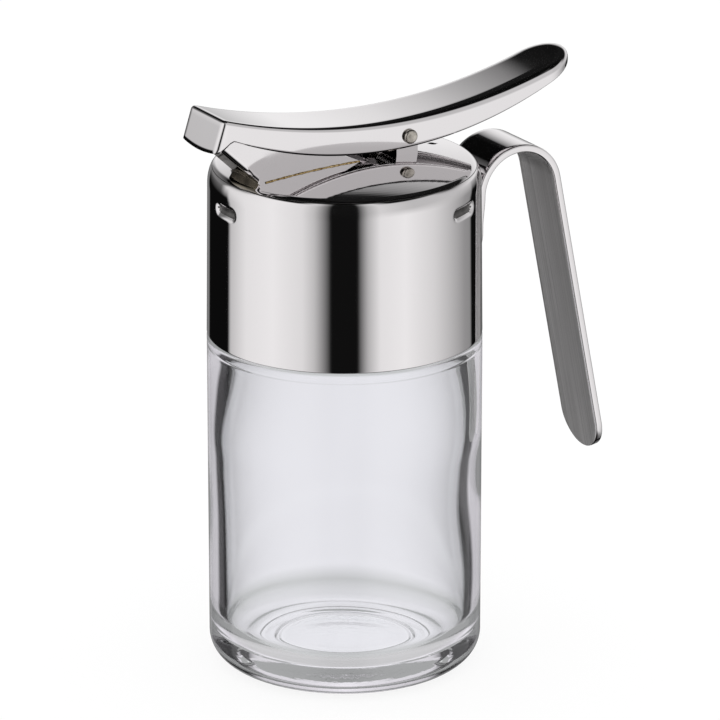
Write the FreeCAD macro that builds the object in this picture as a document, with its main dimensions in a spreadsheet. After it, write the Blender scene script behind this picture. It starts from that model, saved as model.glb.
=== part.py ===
import FreeCAD, Part
import math
import os
import re
import Sketcher

# A dispenser for honey: a straight glass jar, a polished steel cap with a pouring chute on its domed top,
# a sprung channel-shaped lever that shuts the chute, and a bent strip handle.
# The origin is on the jar's axis in the plane it stands on. +Z is up, the spout points to -X
# and the handle to +X, and the whole is symmetric about the XZ plane.
# Lengths are millimetres and angles are degrees.

SIZES = {
    # glass jar
    "jar_radius": 33.0,
    "jar_height": 82.8,
    "jar_wall": 4.2,
    "heel_radius": 6.4,
    "inner_heel_radius": 8.0,
    "floor_thickness": 5.6,
    "ring_width": 5.3,
    "punt_depth": 1.0,
    "rim_rounding": 0.7,
    "shoulder_depth": 7.5,
    "neck_gap": 1.4,
    "neck_wall": 3.2,
    "neck_height": 14.0,
    # cap
    "cap_wall": 1.2,
    "cap_straight": 37.1,
    "cap_draft": 0.45,
    "lean_radius": 9.5,
    "lean_angle": 20.5,
    "brow_radius": 2.43,
    "dome_slope": 7.3,
    "dent_width": 9.7,
    "dent_height": 3.5,
    "dent_depth": 0.55,
    "dent_drop": 2.6,
    "vent_setback": 5.7,
    "vent_diameter": 1.9,
    "mouth_setback": 3.3,
    "mouth_length": 15.5,
    "mouth_width": 8.6,
    # chute
    "sheet": 0.8,
    "side_gap": 0.4,
    "chute_length": 27.2,
    "foot_setback": 3.0,
    "crest_setback": 4.0,
    "chute_lip_depth": 7.2,
    "chute_bend": 1.4,
    "lid_gap": 0.8,
    # lever
    "lever_width": 16.4,
    "front_overhang": 3.8,
    "tail_overhang": 27.9,
    "lever_rise": 4.3,
    "lever_low_place": 7.3,
    "top_arc": 143.5,
    "belly_arc": 105.0,
    "belly_depth": 7.1,
    "front_height": 8.1,
    "front_lip": 1.9,
    "lip_setback": 2.2,
    "lip_sag": 0.8,
    "edge_rounding": 0.5,
    # hinge
    "hinge_place": 13.1,
    "hinge_rise": 4.4,
    "pin_diameter": 2.2,
    "pin_clearance": 0.06,
    "head_diameter": 3.5,
    "head_height": 1.0,
    "head_gap": 0.12,
    "head_rounding": 0.6,
    "ear_width": 5.8,
    "ear_gap": 0.35,
    "spring_wire": 0.8,
    "spring_turns": 10.0,
    "spring_clearance": 0.3,
    # handle
    "strip_width": 16.2,
    "strip_thickness": 1.9,
    "root_crown": 55.0,
    "root_length": 9.0,
    "root_drop": 14.9,
    "bend_drop": 7.5,
    "bend_radius": 11.65,
    "grip_tilt": 11.2,
    "grip_length": 71.4,
}

doc = FreeCAD.newDocument("HoneyDispenser")


def make_sheet():
    """The spreadsheet with the driving dimensions, one named cell each."""
    cells = doc.addObject("Spreadsheet::Sheet", "Sizes")
    for row, (name, value) in enumerate(SIZES.items(), start=1):
        cells.set(f"A{row}", name)
        cells.set(f"B{row}", str(value))
        cells.setAlias(f"B{row}", name)
    doc.recompute()
    return cells


sheet = make_sheet()
probe = doc.addObject("App::FeaturePython", "Probe")
probe.addProperty("App::PropertyFloat", "Number")


def bound(expression):
    """An expression with each size's name turned into a reference to its cell."""
    names = "|".join(sorted(SIZES, key=len, reverse=True))
    return re.sub(rf"\b({names})\b", r"Sizes.\1", str(expression))


def number(expression):
    """What an expression comes to with the sheet's present values."""
    probe.setExpression("Number", bound(expression))
    probe.recompute()
    return probe.Number


def plane(body, role):
    """One of a body's own origin planes."""
    return next(part for part in body.Origin.OriginFeatures if part.Role == role)


def new_body(name):
    """An empty PartDesign body whose label names its file."""
    body = doc.addObject("PartDesign::Body", name)
    body.Label = name
    return body


def new_sketch(body, name, role, height=None):
    """A sketch on an origin plane, or at a height above it."""
    sketch = body.newObject("Sketcher::SketchObject", name)
    sketch.AttachmentSupport = [(plane(body, role), "")]
    sketch.MapMode = "FlatFace"
    if height is not None:
        sketch.setExpression(".AttachmentOffset.Base.z", bound(height))
    doc.recompute()
    return sketch


def pin_down(sketch, axis, line, point, expression):
    """Bind one coordinate of a point to an expression."""
    value = number(expression)
    if abs(value) < 1e-9:
        reference = -2 if axis == "X" else -1
        sketch.addConstraint(Sketcher.Constraint("PointOnObject", line, point, reference))
        return
    index = sketch.addConstraint(Sketcher.Constraint("Distance" + axis, -1, 1, line, point, value))
    sketch.setExpression(f"Constraints[{index}]", bound(expression))


def arc_between(start, end, radius):
    """The arc from start to end: anticlockwise with a positive radius, clockwise with a negative one."""
    if radius < 0:
        start, end = end, start
        radius = -radius
    chord = end - start
    middle = (start + end) / 2
    rise = math.sqrt(max(radius**2 - chord.Length**2 / 4, 0.0))
    across = FreeCAD.Vector(-chord.y, chord.x, 0).normalize()
    centre = middle + across * rise
    angles = [math.atan2(p.y - centre.y, p.x - centre.x) for p in (start, end)]
    if angles[1] < angles[0]:
        angles[1] += 2 * math.pi
    circle = Part.Circle(centre, FreeCAD.Vector(0, 0, 1), radius)
    return Part.ArcOfCircle(circle, *angles)


def draw_loop(sketch, corners):
    """A closed loop. A corner is (x, y), or (x, y, radius) where an arc of that radius arrives at it."""
    places = [FreeCAD.Vector(number(c[0]), number(c[1]), 0) for c in corners]
    first = []
    last = []
    for index, place in enumerate(places):
        before = places[index - 1]
        if len(corners[index]) == 2:
            line = sketch.addGeometry(Part.LineSegment(before, place))
            first.append((line, 1))
            last.append((line, 2))
            continue
        radius = corners[index][2]
        turn = -1 if radius.startswith("-") else 1
        size = radius.lstrip("-")
        line = sketch.addGeometry(arc_between(before, place, turn * number(size)))
        first.append((line, 1 if turn > 0 else 2))
        last.append((line, 2 if turn > 0 else 1))
        bend = sketch.addConstraint(Sketcher.Constraint("Radius", line, number(size)))
        sketch.setExpression(f"Constraints[{bend}]", bound(size))
    for index, corner in enumerate(corners):
        follower = first[(index + 1) % len(corners)]
        sketch.addConstraint(Sketcher.Constraint("Coincident", *last[index], *follower))
        pin_down(sketch, "X", *last[index], corner[0])
        pin_down(sketch, "Y", *last[index], corner[1])


def draw_circle(sketch, x, y, diameter):
    place = FreeCAD.Vector(number(x), number(y), 0)
    circle = Part.Circle(place, FreeCAD.Vector(0, 0, 1), number(diameter) / 2)
    line = sketch.addGeometry(circle)
    size = sketch.addConstraint(Sketcher.Constraint("Diameter", line, number(diameter)))
    sketch.setExpression(f"Constraints[{size}]", bound(diameter))
    pin_down(sketch, "X", line, 3, x)
    pin_down(sketch, "Y", line, 3, y)


def add_feature(body, kind, name, sketch, **settings):
    """A pad, pocket, revolution or groove of a sketch. Text settings are expressions."""
    before = body.Shape.Volume if body.Shape and not body.Shape.isNull() else 0.0
    feature = body.newObject(f"PartDesign::{kind}", name)
    feature.Profile = sketch
    for key, value in settings.items():
        if isinstance(value, str):
            feature.setExpression(key, bound(value))
        else:
            setattr(feature, key, value)
    doc.recompute()
    grown = body.Shape.Volume - before
    if kind in ("Pocket", "Groove") and grown > -1e-3:
        raise RuntimeError(f"{name} cuts nothing")
    if kind not in ("Pocket", "Groove") and grown < 1e-3:
        raise RuntimeError(f"{name} adds nothing")
    return feature


def pad(body, name, sketch, length):
    """A pad to both sides of its sketch."""
    return add_feature(body, "Pad", name, sketch, Length=length, Midplane=True)


def pocket(body, name, sketch, length):
    """A pocket to both sides of its sketch."""
    return add_feature(body, "Pocket", name, sketch, Length=length, Midplane=True)


def revolve(body, name, sketch, kind="Revolution"):
    """A full turn of a sketch about its own upright axis."""
    return add_feature(body, kind, name, sketch, ReferenceAxis=(sketch, ["V_Axis"]), Angle=360.0)


def round_edges(body, name, radius, wanted):
    """A fillet on the edges for which wanted(edge) is true."""
    base = body.Tip
    edges = [f"Edge{i}" for i, edge in enumerate(base.Shape.Edges, start=1) if wanted(edge)]
    if not edges:
        raise RuntimeError(f"{name} finds no edge")
    fillet = body.newObject("PartDesign::Fillet", name)
    fillet.Base = (base, edges)
    fillet.setExpression("Radius", bound(radius))
    doc.recompute()
    return fillet


# ---- glass jar ----------------------------------------------------------------------------------

JAR_INSIDE = "(jar_radius - jar_wall)"
NECK_TOP = "(jar_height + neck_height)"


def make_jar():
    """Pressed glass: punted base, straight wall, and a stepped-in neck that the cap hides."""
    body = new_body("glass_jar")
    sketch = new_sketch(body, "JarProfile", "XZ_Plane")
    punt_radius = "(jar_radius - heel_radius - ring_width)"
    punt_arc = f"(({punt_radius}^2 + punt_depth^2)/(2*punt_depth))"
    neck_radius = "(jar_radius - cap_wall - neck_gap)"
    neck_inside = f"({neck_radius} - neck_wall)"
    step = f"({JAR_INSIDE} - {neck_inside})"
    step_arc = f"(({step}^2 + shoulder_depth^2)/(4*{step}))"
    draw_loop(sketch, [
        ("0", "punt_depth"),
        (punt_radius, "0", "-" + punt_arc),
        ("jar_radius - heel_radius", "0"),
        ("jar_radius", "heel_radius", "heel_radius"),
        ("jar_radius", "jar_height - rim_rounding"),
        ("jar_radius - rim_rounding", "jar_height", "rim_rounding"),
        (neck_radius, "jar_height"),
        (neck_radius, NECK_TOP),
        (neck_inside, NECK_TOP),
        (neck_inside, "jar_height"),
        (f"({neck_inside} + {JAR_INSIDE})/2", "jar_height - shoulder_depth/2", step_arc),
        (JAR_INSIDE, "jar_height - shoulder_depth", "-" + step_arc),
        (JAR_INSIDE, "floor_thickness + inner_heel_radius"),
        (f"{JAR_INSIDE} - inner_heel_radius", "floor_thickness", "-inner_heel_radius"),
        ("0", "floor_thickness"),
    ])
    revolve(body, "JarTurn", sketch)
    return body


# ---- cap ----------------------------------------------------------------------------------------

LEAN_START = "(jar_height + cap_straight)"
LEAN_END = (
    "(jar_radius - cap_draft - lean_radius + lean_radius*cos(lean_angle))",
    f"({LEAN_START} + lean_radius*sin(lean_angle))",
)
BROW_CENTRE = (
    f"({LEAN_END[0]} - brow_radius*cos(lean_angle))",
    f"({LEAN_END[1]} - brow_radius*sin(lean_angle))",
)
BROW_END = (
    f"({BROW_CENTRE[0]} + brow_radius*sin(dome_slope))",
    f"({BROW_CENTRE[1]} + brow_radius*cos(dome_slope))",
)
DOME_RADIUS = f"({BROW_END[0]}/sin(dome_slope))"
DOME_CENTRE = f"({BROW_END[1]} - {DOME_RADIUS}*cos(dome_slope))"
DOME_TOP = f"({DOME_CENTRE} + {DOME_RADIUS})"
CHUTE_FOOT_PLACE = f"(foot_setback - {BROW_END[0]})"


def skirt_radius(height):
    """The radius of the cap's slightly tapered skirt at a height."""
    return f"(jar_radius - cap_draft*({height} - jar_height)/cap_straight)"


def dome_height(reach):
    """The dome's height at a distance from the axis."""
    return f"({DOME_CENTRE} + sqrt({DOME_RADIUS}^2 - ({reach})^2))"


def cap_corners(inset):
    """The cap's outline at a depth under its skin, from the lower edge to the top of the dome."""
    return [
        (f"(jar_radius - {inset})", "jar_height"),
        (f"(jar_radius - cap_draft - {inset})", LEAN_START),
        (
            f"{LEAN_END[0]} - {inset}*cos(lean_angle)",
            f"{LEAN_END[1]} - {inset}*sin(lean_angle)",
            f"(lean_radius - {inset})",
        ),
        (
            f"{BROW_END[0]} - {inset}*sin(dome_slope)",
            f"{BROW_END[1]} - {inset}*cos(dome_slope)",
            f"(brow_radius - {inset})",
        ),
        ("0", f"{DOME_TOP} - {inset}", f"({DOME_RADIUS} - {inset})"),
    ]


def make_cap():
    """Drawn steel: a straight skirt, a leaning shoulder and a low dome, with three stamped dents."""
    body = new_body("cap_shell")
    sketch = new_sketch(body, "CapProfile", "XZ_Plane")
    outside = cap_corners("0")
    inside = cap_corners("cap_wall")
    back_down = [inside[4][:2]]
    for index in (3, 2, 1):
        corner = inside[index]
        arriving = inside[index + 1][2]
        back_down.append((corner[0], corner[1], "-" + arriving))
    back_down.append(inside[0][:2])
    draw_loop(sketch, outside + back_down)
    revolve(body, "CapTurn", sketch)

    dent = new_sketch(body, "DentShape", "YZ_Plane")
    middle = f"({LEAN_START} - dent_drop)"
    half_slot = "((dent_width - dent_height)/2)"
    draw_loop(dent, [
        (f"-{half_slot}", f"{middle} - dent_height/2", "(dent_height/2)"),
        (half_slot, f"{middle} - dent_height/2"),
        (f"{half_slot} + dent_height/2", middle, "(dent_height/2)"),
        (half_slot, f"{middle} + dent_height/2", "(dent_height/2)"),
        (f"-{half_slot}", f"{middle} + dent_height/2"),
        (f"-{half_slot} - dent_height/2", middle, "(dent_height/2)"),
    ])
    dent.setExpression(".AttachmentOffset.Base.z", bound(f"dent_depth - {skirt_radius(middle)}"))
    doc.recompute()
    cut = add_feature(body, "Pocket", "DentCut", dent, Length="dent_depth + cap_wall")
    ring = body.newObject("PartDesign::PolarPattern", "DentRing")
    ring.Originals = [cut]
    ring.Axis = (sketch, ["V_Axis"])
    ring.Angle = 360.0
    ring.Occurrences = 3
    body.Tip = ring
    doc.recompute()

    mouth_front = f"({CHUTE_FOOT_PLACE} + mouth_setback)"
    mouth_back = f"({mouth_front} + mouth_length)"
    mouth = new_sketch(body, "MouthShape", "XY_Plane", BROW_CENTRE[1])
    draw_loop(mouth, [
        (mouth_front, "-mouth_width/2"),
        (mouth_back, "-mouth_width/2"),
        (mouth_back, "mouth_width/2"),
        (mouth_front, "mouth_width/2"),
    ])
    upward = {"Length": "2*brow_radius + cap_wall", "Reversed": True}
    add_feature(body, "Pocket", "MouthCut", mouth, **upward)
    vent = new_sketch(body, "VentShape", "XY_Plane", BROW_CENTRE[1])
    draw_circle(vent, f"{BROW_END[0]} - vent_setback", "0", "vent_diameter")
    add_feature(body, "Pocket", "VentCut", vent, **upward)
    return body


def trim_to_dome(body):
    """Cut away what lies under the dome's surface."""
    sketch = new_sketch(body, body.Name + "DomeShape", "XZ_Plane")
    low = f"({DOME_TOP} - 6*brow_radius)"
    draw_loop(sketch, [
        ("0", low),
        ("jar_radius", low),
        ("jar_radius", dome_height("jar_radius")),
        ("0", DOME_TOP, DOME_RADIUS),
    ])
    revolve(body, body.Name + "DomeCut", sketch, "Groove")


# ---- lever --------------------------------------------------------------------------------------

HINGE_HEIGHT = f"({DOME_TOP} + hinge_rise)"
LEVER_LOW = f"({HINGE_HEIGHT} + lever_rise)"
LEVER_FRONT = "(jar_radius + front_overhang)"
ARC_CENTRE = f"({LEVER_LOW} + top_arc)"


def on_top_arc(place, depth="0"):
    """Height of the lever's upper surface, or of an arc at a depth under it, at a place along X."""
    return f"({ARC_CENTRE} - sqrt((top_arc + {depth})^2 - ({place} - lever_low_place)^2))"


# The front wall is square to the upper surface, so it leans by the angle of that arc there.
FRONT_LEAN = f"asin(({LEVER_FRONT} + lever_low_place)/top_arc)"


def on_front_wall(depth, inset):
    """A point of the front wall, at a depth under the top and an inset behind its outer face."""
    reach = f"(top_arc + {depth})"
    return (
        f"(lever_low_place - {reach}*sin({FRONT_LEAN}) + ({inset})*cos({FRONT_LEAN}))",
        f"({ARC_CENTRE} - {reach}*cos({FRONT_LEAN}) - ({inset})*sin({FRONT_LEAN}))",
    )


BELLY_CENTRE = f"({LEVER_LOW} - belly_depth + belly_arc)"


def on_belly(place):
    """Height of the lower edge of the side walls at a place along X."""
    return f"({BELLY_CENTRE} - sqrt(belly_arc^2 - ({place} - lever_low_place)^2))"


LIP_FRONT = on_front_wall("front_height + lip_sag", "0")


def make_lever_solid(name, inset, open_below):
    """The lever as a full block, or the hollow that makes it a channel."""
    body = new_body(name)
    side = new_sketch(body, name + "Side", "XZ_Plane")
    back = f"(jar_radius + tail_overhang - {inset})"
    top_front = on_front_wall(inset, inset)
    if open_below:
        low = f"({HINGE_HEIGHT} - 4*belly_depth)"
        front_low = on_front_wall("front_height + lever_width", inset)
        corners = [
            front_low,
            (back, low),
            (back, on_top_arc(back, inset)),
            (*top_front, f"-(top_arc + {inset})"),
        ]
    else:
        lip_back = on_front_wall("front_height + lip_sag", "front_lip")
        lip_end = f"(lip_setback - {LEVER_FRONT})"
        corners = [
            LIP_FRONT,
            lip_back,
            (lip_end, on_belly(lip_end)),
            (back, on_belly(back), "belly_arc"),
            (back, on_top_arc(back)),
            (*top_front, "-top_arc"),
        ]
    draw_loop(side, corners)
    pad(body, name + "Block", side, f"lever_width - 2*{inset}")

    plan = new_sketch(body, name + "Plan", "XY_Plane", HINGE_HEIGHT)
    half = f"(lever_width/2 - {inset})"
    turn = f"({back} - {half})"
    draw_loop(plan, [
        (turn, f"-{half}", f"-{half}"),
        (turn, "-lever_width"),
        (f"{back} + lever_width", "-lever_width"),
        (f"{back} + lever_width", "lever_width"),
        (turn, "lever_width"),
        (turn, half),
        (back, "0", f"-{half}"),
    ])
    pocket(body, name + "TailCut", plan, "20*belly_depth")
    return body


def curve_lip(block):
    """Trims the front wall's lower edge to an arc that hangs lowest in the middle."""
    trim = new_sketch(block, "LipShape", "YZ_Plane", f"-{LEVER_FRONT}")
    low = f"({LIP_FRONT[1]} - 2*lip_sag)"
    side = f"({LIP_FRONT[1]} + lip_sag)"
    draw_loop(trim, [
        ("-lever_width/2", side),
        ("lever_width/2", side, "((lever_width^2/4 + lip_sag^2)/(2*lip_sag))"),
        ("lever_width", side),
        ("lever_width", low),
        ("-lever_width", low),
        ("-lever_width", side),
    ])
    pocket(block, "LipTrim", trim, "4*lip_setback")


def make_lever():
    """Pressed sheet: a curved channel with a closed front, a lip there, and a rounded tail."""
    block = make_lever_solid("lever_block", "0", False)
    hole = new_sketch(block, "LeverHoleShape", "XZ_Plane")
    draw_circle(hole, "hinge_place", HINGE_HEIGHT, PIN_HOLE)
    centre = FreeCAD.Vector(number("lever_low_place"), 0, number(ARC_CENTRE))
    reach = number("top_arc")
    front_top = on_front_wall("0", "0")
    front_x = number(front_top[0])

    def on_outline(edge):
        """Edges of the upper surface, and the two upright corners of the front wall."""
        ends = [v.Point for v in edge.Vertexes]
        reaches = [math.hypot(p.x - centre.x, p.z - centre.z) for p in ends]
        upper = all(abs(r - reach) < 1e-3 for r in reaches)
        upright = len(ends) == 2 and max(p.x for p in ends) < front_x + 1e-3
        return upper or (upright and abs(ends[0].y - ends[1].y) < 1e-3)

    round_edges(block, "LeverRounding", "edge_rounding", on_outline)
    curve_lip(block)
    pocket(block, "LeverHole", hole, "2*lever_width")
    hollow = make_lever_solid("lever_hollow", "sheet", True)
    lever = doc.addObject("Part::Cut", "lever")
    lever.Label = "lever"
    lever.Base = block
    lever.Tool = hollow
    doc.recompute()
    return lever


# ---- chute --------------------------------------------------------------------------------------

CHUTE_ROOM = "(sheet + lid_gap)"
CHUTE_WIDTH = "(lever_width - 2*sheet - 2*side_gap)"
CHUTE_LIP = on_front_wall("chute_lip_depth", CHUTE_ROOM)
CHUTE_FOOT = (CHUTE_FOOT_PLACE, dome_height(CHUTE_FOOT_PLACE))
CHUTE_HEEL = f"({CHUTE_FOOT_PLACE} + chute_length)"
FLOOR_RUN = f"({CHUTE_FOOT[0]} - {CHUTE_LIP[0]})"
FLOOR_RISE = f"({CHUTE_LIP[1]} - {CHUTE_FOOT[1]})"
FLOOR_LENGTH = f"sqrt({FLOOR_RUN}^2 + {FLOOR_RISE}^2)"


def on_floor(start, along, above):
    """A point off the chute's floor line: so far up it from a point, and so far above its outer face."""
    return (
        f"({start[0]} - ({along})*{FLOOR_RUN}/{FLOOR_LENGTH} + ({above})*{FLOOR_RISE}/{FLOOR_LENGTH})",
        f"({start[1]} + ({along})*{FLOOR_RISE}/{FLOOR_LENGTH} + ({above})*{FLOOR_RUN}/{FLOOR_LENGTH})",
    )


def make_chute():
    """Bent sheet brazed to the dome: a sloping floor and two cheeks, shut above by the lever."""
    body = new_body("spout_chute")
    brow_front = on_front_wall(CHUTE_ROOM, CHUTE_ROOM)
    crest = f"({CHUTE_FOOT_PLACE} + crest_setback)"
    heel = (CHUTE_HEEL, dome_height(CHUTE_HEEL))
    side = new_sketch(body, "ChuteSide", "XZ_Plane")
    draw_loop(side, [
        (CHUTE_FOOT[0], f"{CHUTE_FOOT[1]} - sheet"),
        (heel[0], f"{heel[1]} - sheet"),
        heel,
        (crest, on_top_arc(crest, CHUTE_ROOM)),
        (*brow_front, f"-(top_arc + {CHUTE_ROOM})"),
        CHUTE_LIP,
        CHUTE_FOOT,
    ])
    pad(body, "ChuteBlock", side, CHUTE_WIDTH)

    slope = FreeCAD.Vector(-number(FLOOR_RUN), 0, number(FLOOR_RISE)).normalize()

    def on_floor_side(edge):
        """The two long lower edges, where the floor turns up into the cheeks."""
        ends = [v.Point for v in edge.Vertexes]
        if len(ends) != 2 or abs(ends[0].y - ends[1].y) > 1e-3:
            return False
        return abs(abs((ends[1] - ends[0]).normalize().dot(slope)) - 1) < 1e-6

    round_edges(body, "ChuteBends", "chute_bend", on_floor_side)
    trough = new_sketch(body, "TroughShape", "XZ_Plane")
    beyond = on_floor(CHUTE_LIP, "chute_bend", "sheet")
    under = on_floor(CHUTE_FOOT, "-2*sheet", "sheet")
    far_back = f"({CHUTE_HEEL} + sheet)"
    above = f"({LEVER_LOW} + front_height)"
    draw_loop(trough, [
        beyond,
        under,
        (far_back, under[1]),
        (far_back, above),
        (beyond[0], above),
    ])
    pocket(body, "TroughCut", trough, f"{CHUTE_WIDTH} - 2*sheet")
    trim_to_dome(body)
    return body


# ---- hinge --------------------------------------------------------------------------------------

EAR_SPAN = "(lever_width - 2*sheet - 2*ear_gap)"
PIN_HOLE = "(pin_diameter + 2*pin_clearance)"


def make_bracket():
    """A small folded saddle on the dome whose two ears carry the pin."""
    body = new_body("hinge_bracket")
    low = f"({DOME_TOP} - sheet)"
    near = "(hinge_place - ear_width/2)"
    far = "(hinge_place + ear_width/2)"
    side = new_sketch(body, "EarShape", "XZ_Plane")
    draw_loop(side, [
        (near, low),
        (far, low),
        (far, HINGE_HEIGHT),
        ("hinge_place", f"{HINGE_HEIGHT} + ear_width/2", "(ear_width/2)"),
        (near, HINGE_HEIGHT, "(ear_width/2)"),
    ])
    pad(body, "EarBlock", side, EAR_SPAN)
    between = new_sketch(body, "BetweenEars", "XZ_Plane")
    draw_loop(between, [
        (f"{near} - sheet", f"{DOME_TOP} + sheet"),
        (f"{far} + sheet", f"{DOME_TOP} + sheet"),
        (f"{far} + sheet", f"{HINGE_HEIGHT} + ear_width"),
        (f"{near} - sheet", f"{HINGE_HEIGHT} + ear_width"),
    ])
    pocket(body, "BetweenCut", between, f"{EAR_SPAN} - 2*sheet")
    hole = new_sketch(body, "EarHoleShape", "XZ_Plane")
    draw_circle(hole, "hinge_place", HINGE_HEIGHT, PIN_HOLE)
    pocket(body, "EarHole", hole, f"2*{EAR_SPAN}")
    trim_to_dome(body)
    return body


def make_pin():
    """The hinge pin, with a rounded head outside each wall of the lever."""
    body = new_body("hinge_pin")
    between_heads = "(lever_width + 2*head_gap)"
    whole = new_sketch(body, "HeadShape", "XZ_Plane")
    draw_circle(whole, "hinge_place", HINGE_HEIGHT, "head_diameter")
    pad(body, "HeadBlock", whole, f"{between_heads} + 2*head_height")
    end = number(f"{between_heads}/2 + head_height")
    round_edges(body, "HeadRounding", "head_rounding", lambda edge: abs(edge.CenterOfMass.y) > end - 1e-3)
    waist = new_sketch(body, "ShankShape", "XZ_Plane")
    draw_circle(waist, "hinge_place", HINGE_HEIGHT, "pin_diameter")
    draw_circle(waist, "hinge_place", HINGE_HEIGHT, "2*head_diameter")
    pocket(body, "ShankCut", waist, between_heads)
    return body


def make_spring():
    """The close-wound return spring on the pin, as one solid with the outline of its turns."""
    body = new_body("return_spring")
    inner = "(hinge_place + pin_diameter/2 + spring_clearance)"
    valley = f"({inner} + 0.8*spring_wire)"
    turns = round(number("spring_turns"))
    corners = [(inner, "spring_turns*spring_wire/2"), (inner, "-spring_turns*spring_wire/2")]
    corners.append((valley, "-spring_turns*spring_wire/2"))
    for turn in range(1, turns + 1):
        corners.append((valley, f"({turn} - spring_turns/2)*spring_wire", "(0.55*spring_wire)"))
    sketch = new_sketch(body, "TurnsProfile", "XY_Plane", HINGE_HEIGHT)
    draw_loop(sketch, corners)
    middle = number("hinge_place")
    start = FreeCAD.Vector(middle, 0, 0)
    end = FreeCAD.Vector(middle, number("spring_wire"), 0)
    axis = sketch.addGeometry(Part.LineSegment(start, end), True)
    for point, height in ((1, "0"), (2, "spring_wire")):
        pin_down(sketch, "X", axis, point, "hinge_place")
        pin_down(sketch, "Y", axis, point, height)
    add_feature(body, "Revolution", "Turns", sketch, ReferenceAxis=(sketch, ["Axis0"]), Angle=360.0)
    return body


# ---- handle -------------------------------------------------------------------------------------

def strip_section(radius):
    """The handle's section at its root, seen from above: hugging the cap inside, flatter outside."""
    half = "(strip_width/2)"
    near = f"sqrt({radius}^2 - {half}^2)"
    far = f"({radius} + strip_thickness - root_crown + sqrt(root_crown^2 - {half}^2))"
    return [(near, f"-{half}", f"-{radius}"), (far, f"-{half}"), (far, half, "root_crown"), (near, half)]


def round_end(body, name, low, start, reach):
    """Cut the strip's end at a height to a half circle, over a reach along X from a start."""
    half = "(strip_width/2)"
    middle = f"({low} + {half})"
    sketch = new_sketch(body, name + "Shape", "YZ_Plane")
    draw_loop(sketch, [
        (f"-{half}", middle),
        ("0", low, half),
        (half, middle, half),
        ("strip_width", middle),
        ("strip_width", f"{low} - {half}"),
        ("-strip_width", f"{low} - {half}"),
        ("-strip_width", middle),
    ])
    sketch.setExpression(".AttachmentOffset.Base.z", bound(start))
    doc.recompute()
    add_feature(body, "Pocket", name, sketch, Length=reach, Reversed=True)


ROOT_TOP = f"({LEAN_START} - root_drop)"
ROOT_BOTTOM = f"({ROOT_TOP} - root_length)"
BEND_START = f"({LEAN_START} - bend_drop)"


def make_handle():
    """One steel strip: its root curved to the cap and welded on, then a tight bend and a long straight grip."""
    body = new_body("handle")
    low = new_sketch(body, "RootSection", "XY_Plane", ROOT_BOTTOM)
    draw_loop(low, strip_section(skirt_radius(ROOT_BOTTOM)))
    hugging = new_sketch(body, "HuggingSection", "XY_Plane", ROOT_TOP)
    draw_loop(hugging, strip_section(skirt_radius(ROOT_TOP)))
    add_feature(body, "AdditiveLoft", "Root", low, Sections=[hugging])

    inside = skirt_radius(BEND_START)
    outside = f"({inside} + strip_thickness)"
    flat = new_sketch(body, "FlatSection", "XY_Plane", BEND_START)
    draw_loop(flat, [
        (inside, "-strip_width/2"),
        (outside, "-strip_width/2"),
        (outside, "strip_width/2"),
        (inside, "strip_width/2"),
    ])
    add_feature(body, "AdditiveLoft", "Flattening", hugging, Sections=[flat])

    inner_bend = "(bend_radius - strip_thickness)"
    centre = f"({inside} + bend_radius)"
    grip_end = f"({BEND_START} - grip_length)"
    turned = {}
    ends = {}
    for face, radius in (("outer", "bend_radius"), ("inner", inner_bend)):
        turned[face] = (
            f"({centre} + {radius}*cos(grip_tilt))",
            f"({BEND_START} + {radius}*sin(grip_tilt))",
        )
        drop = f"({turned[face][1]} - {grip_end})"
        ends[face] = (f"({turned[face][0]} + {drop}*tan(grip_tilt))", grip_end)
    strip = new_sketch(body, "StripSide", "XZ_Plane")
    draw_loop(strip, [
        (outside, BEND_START, inner_bend),
        (inside, BEND_START),
        (*turned["outer"], "-bend_radius"),
        ends["outer"],
        ends["inner"],
        turned["inner"],
    ])
    pad(body, "Strip", strip, "strip_width")
    round_end(body, "RootEnd", ROOT_BOTTOM, "0", "jar_radius + 2*strip_thickness")
    round_end(body, "GripEnd", grip_end, "jar_radius + 2*strip_thickness", "strip_width*4")
    return body


def check(objects):
    """Stop on a failed feature or a broken shape."""
    for item in doc.Objects:
        if "Invalid" in item.State or "Error" in item.State:
            raise RuntimeError(f"{item.Name} failed: {item.State}")
    for item in objects:
        if item.Shape.isNull() or not item.Shape.isValid():
            raise RuntimeError(f"{item.Label} has no valid shape")


subparts = [
    make_jar(),
    make_cap(),
    make_chute(),
    make_bracket(),
    make_pin(),
    make_spring(),
    make_lever(),
    make_handle(),
]
check(subparts)
os.makedirs("parts", exist_ok=True)
for subpart in subparts:
    box = subpart.Shape.BoundBox
    print(subpart.Label, len(subpart.Shape.Solids), round(subpart.Shape.Volume, 1),
          [round(v, 2) for v in (box.XMin, box.YMin, box.ZMin, box.XMax, box.YMax, box.ZMax)])
    subpart.Shape.exportStep(f"parts/{subpart.Label}.step")
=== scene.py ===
import math

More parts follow.
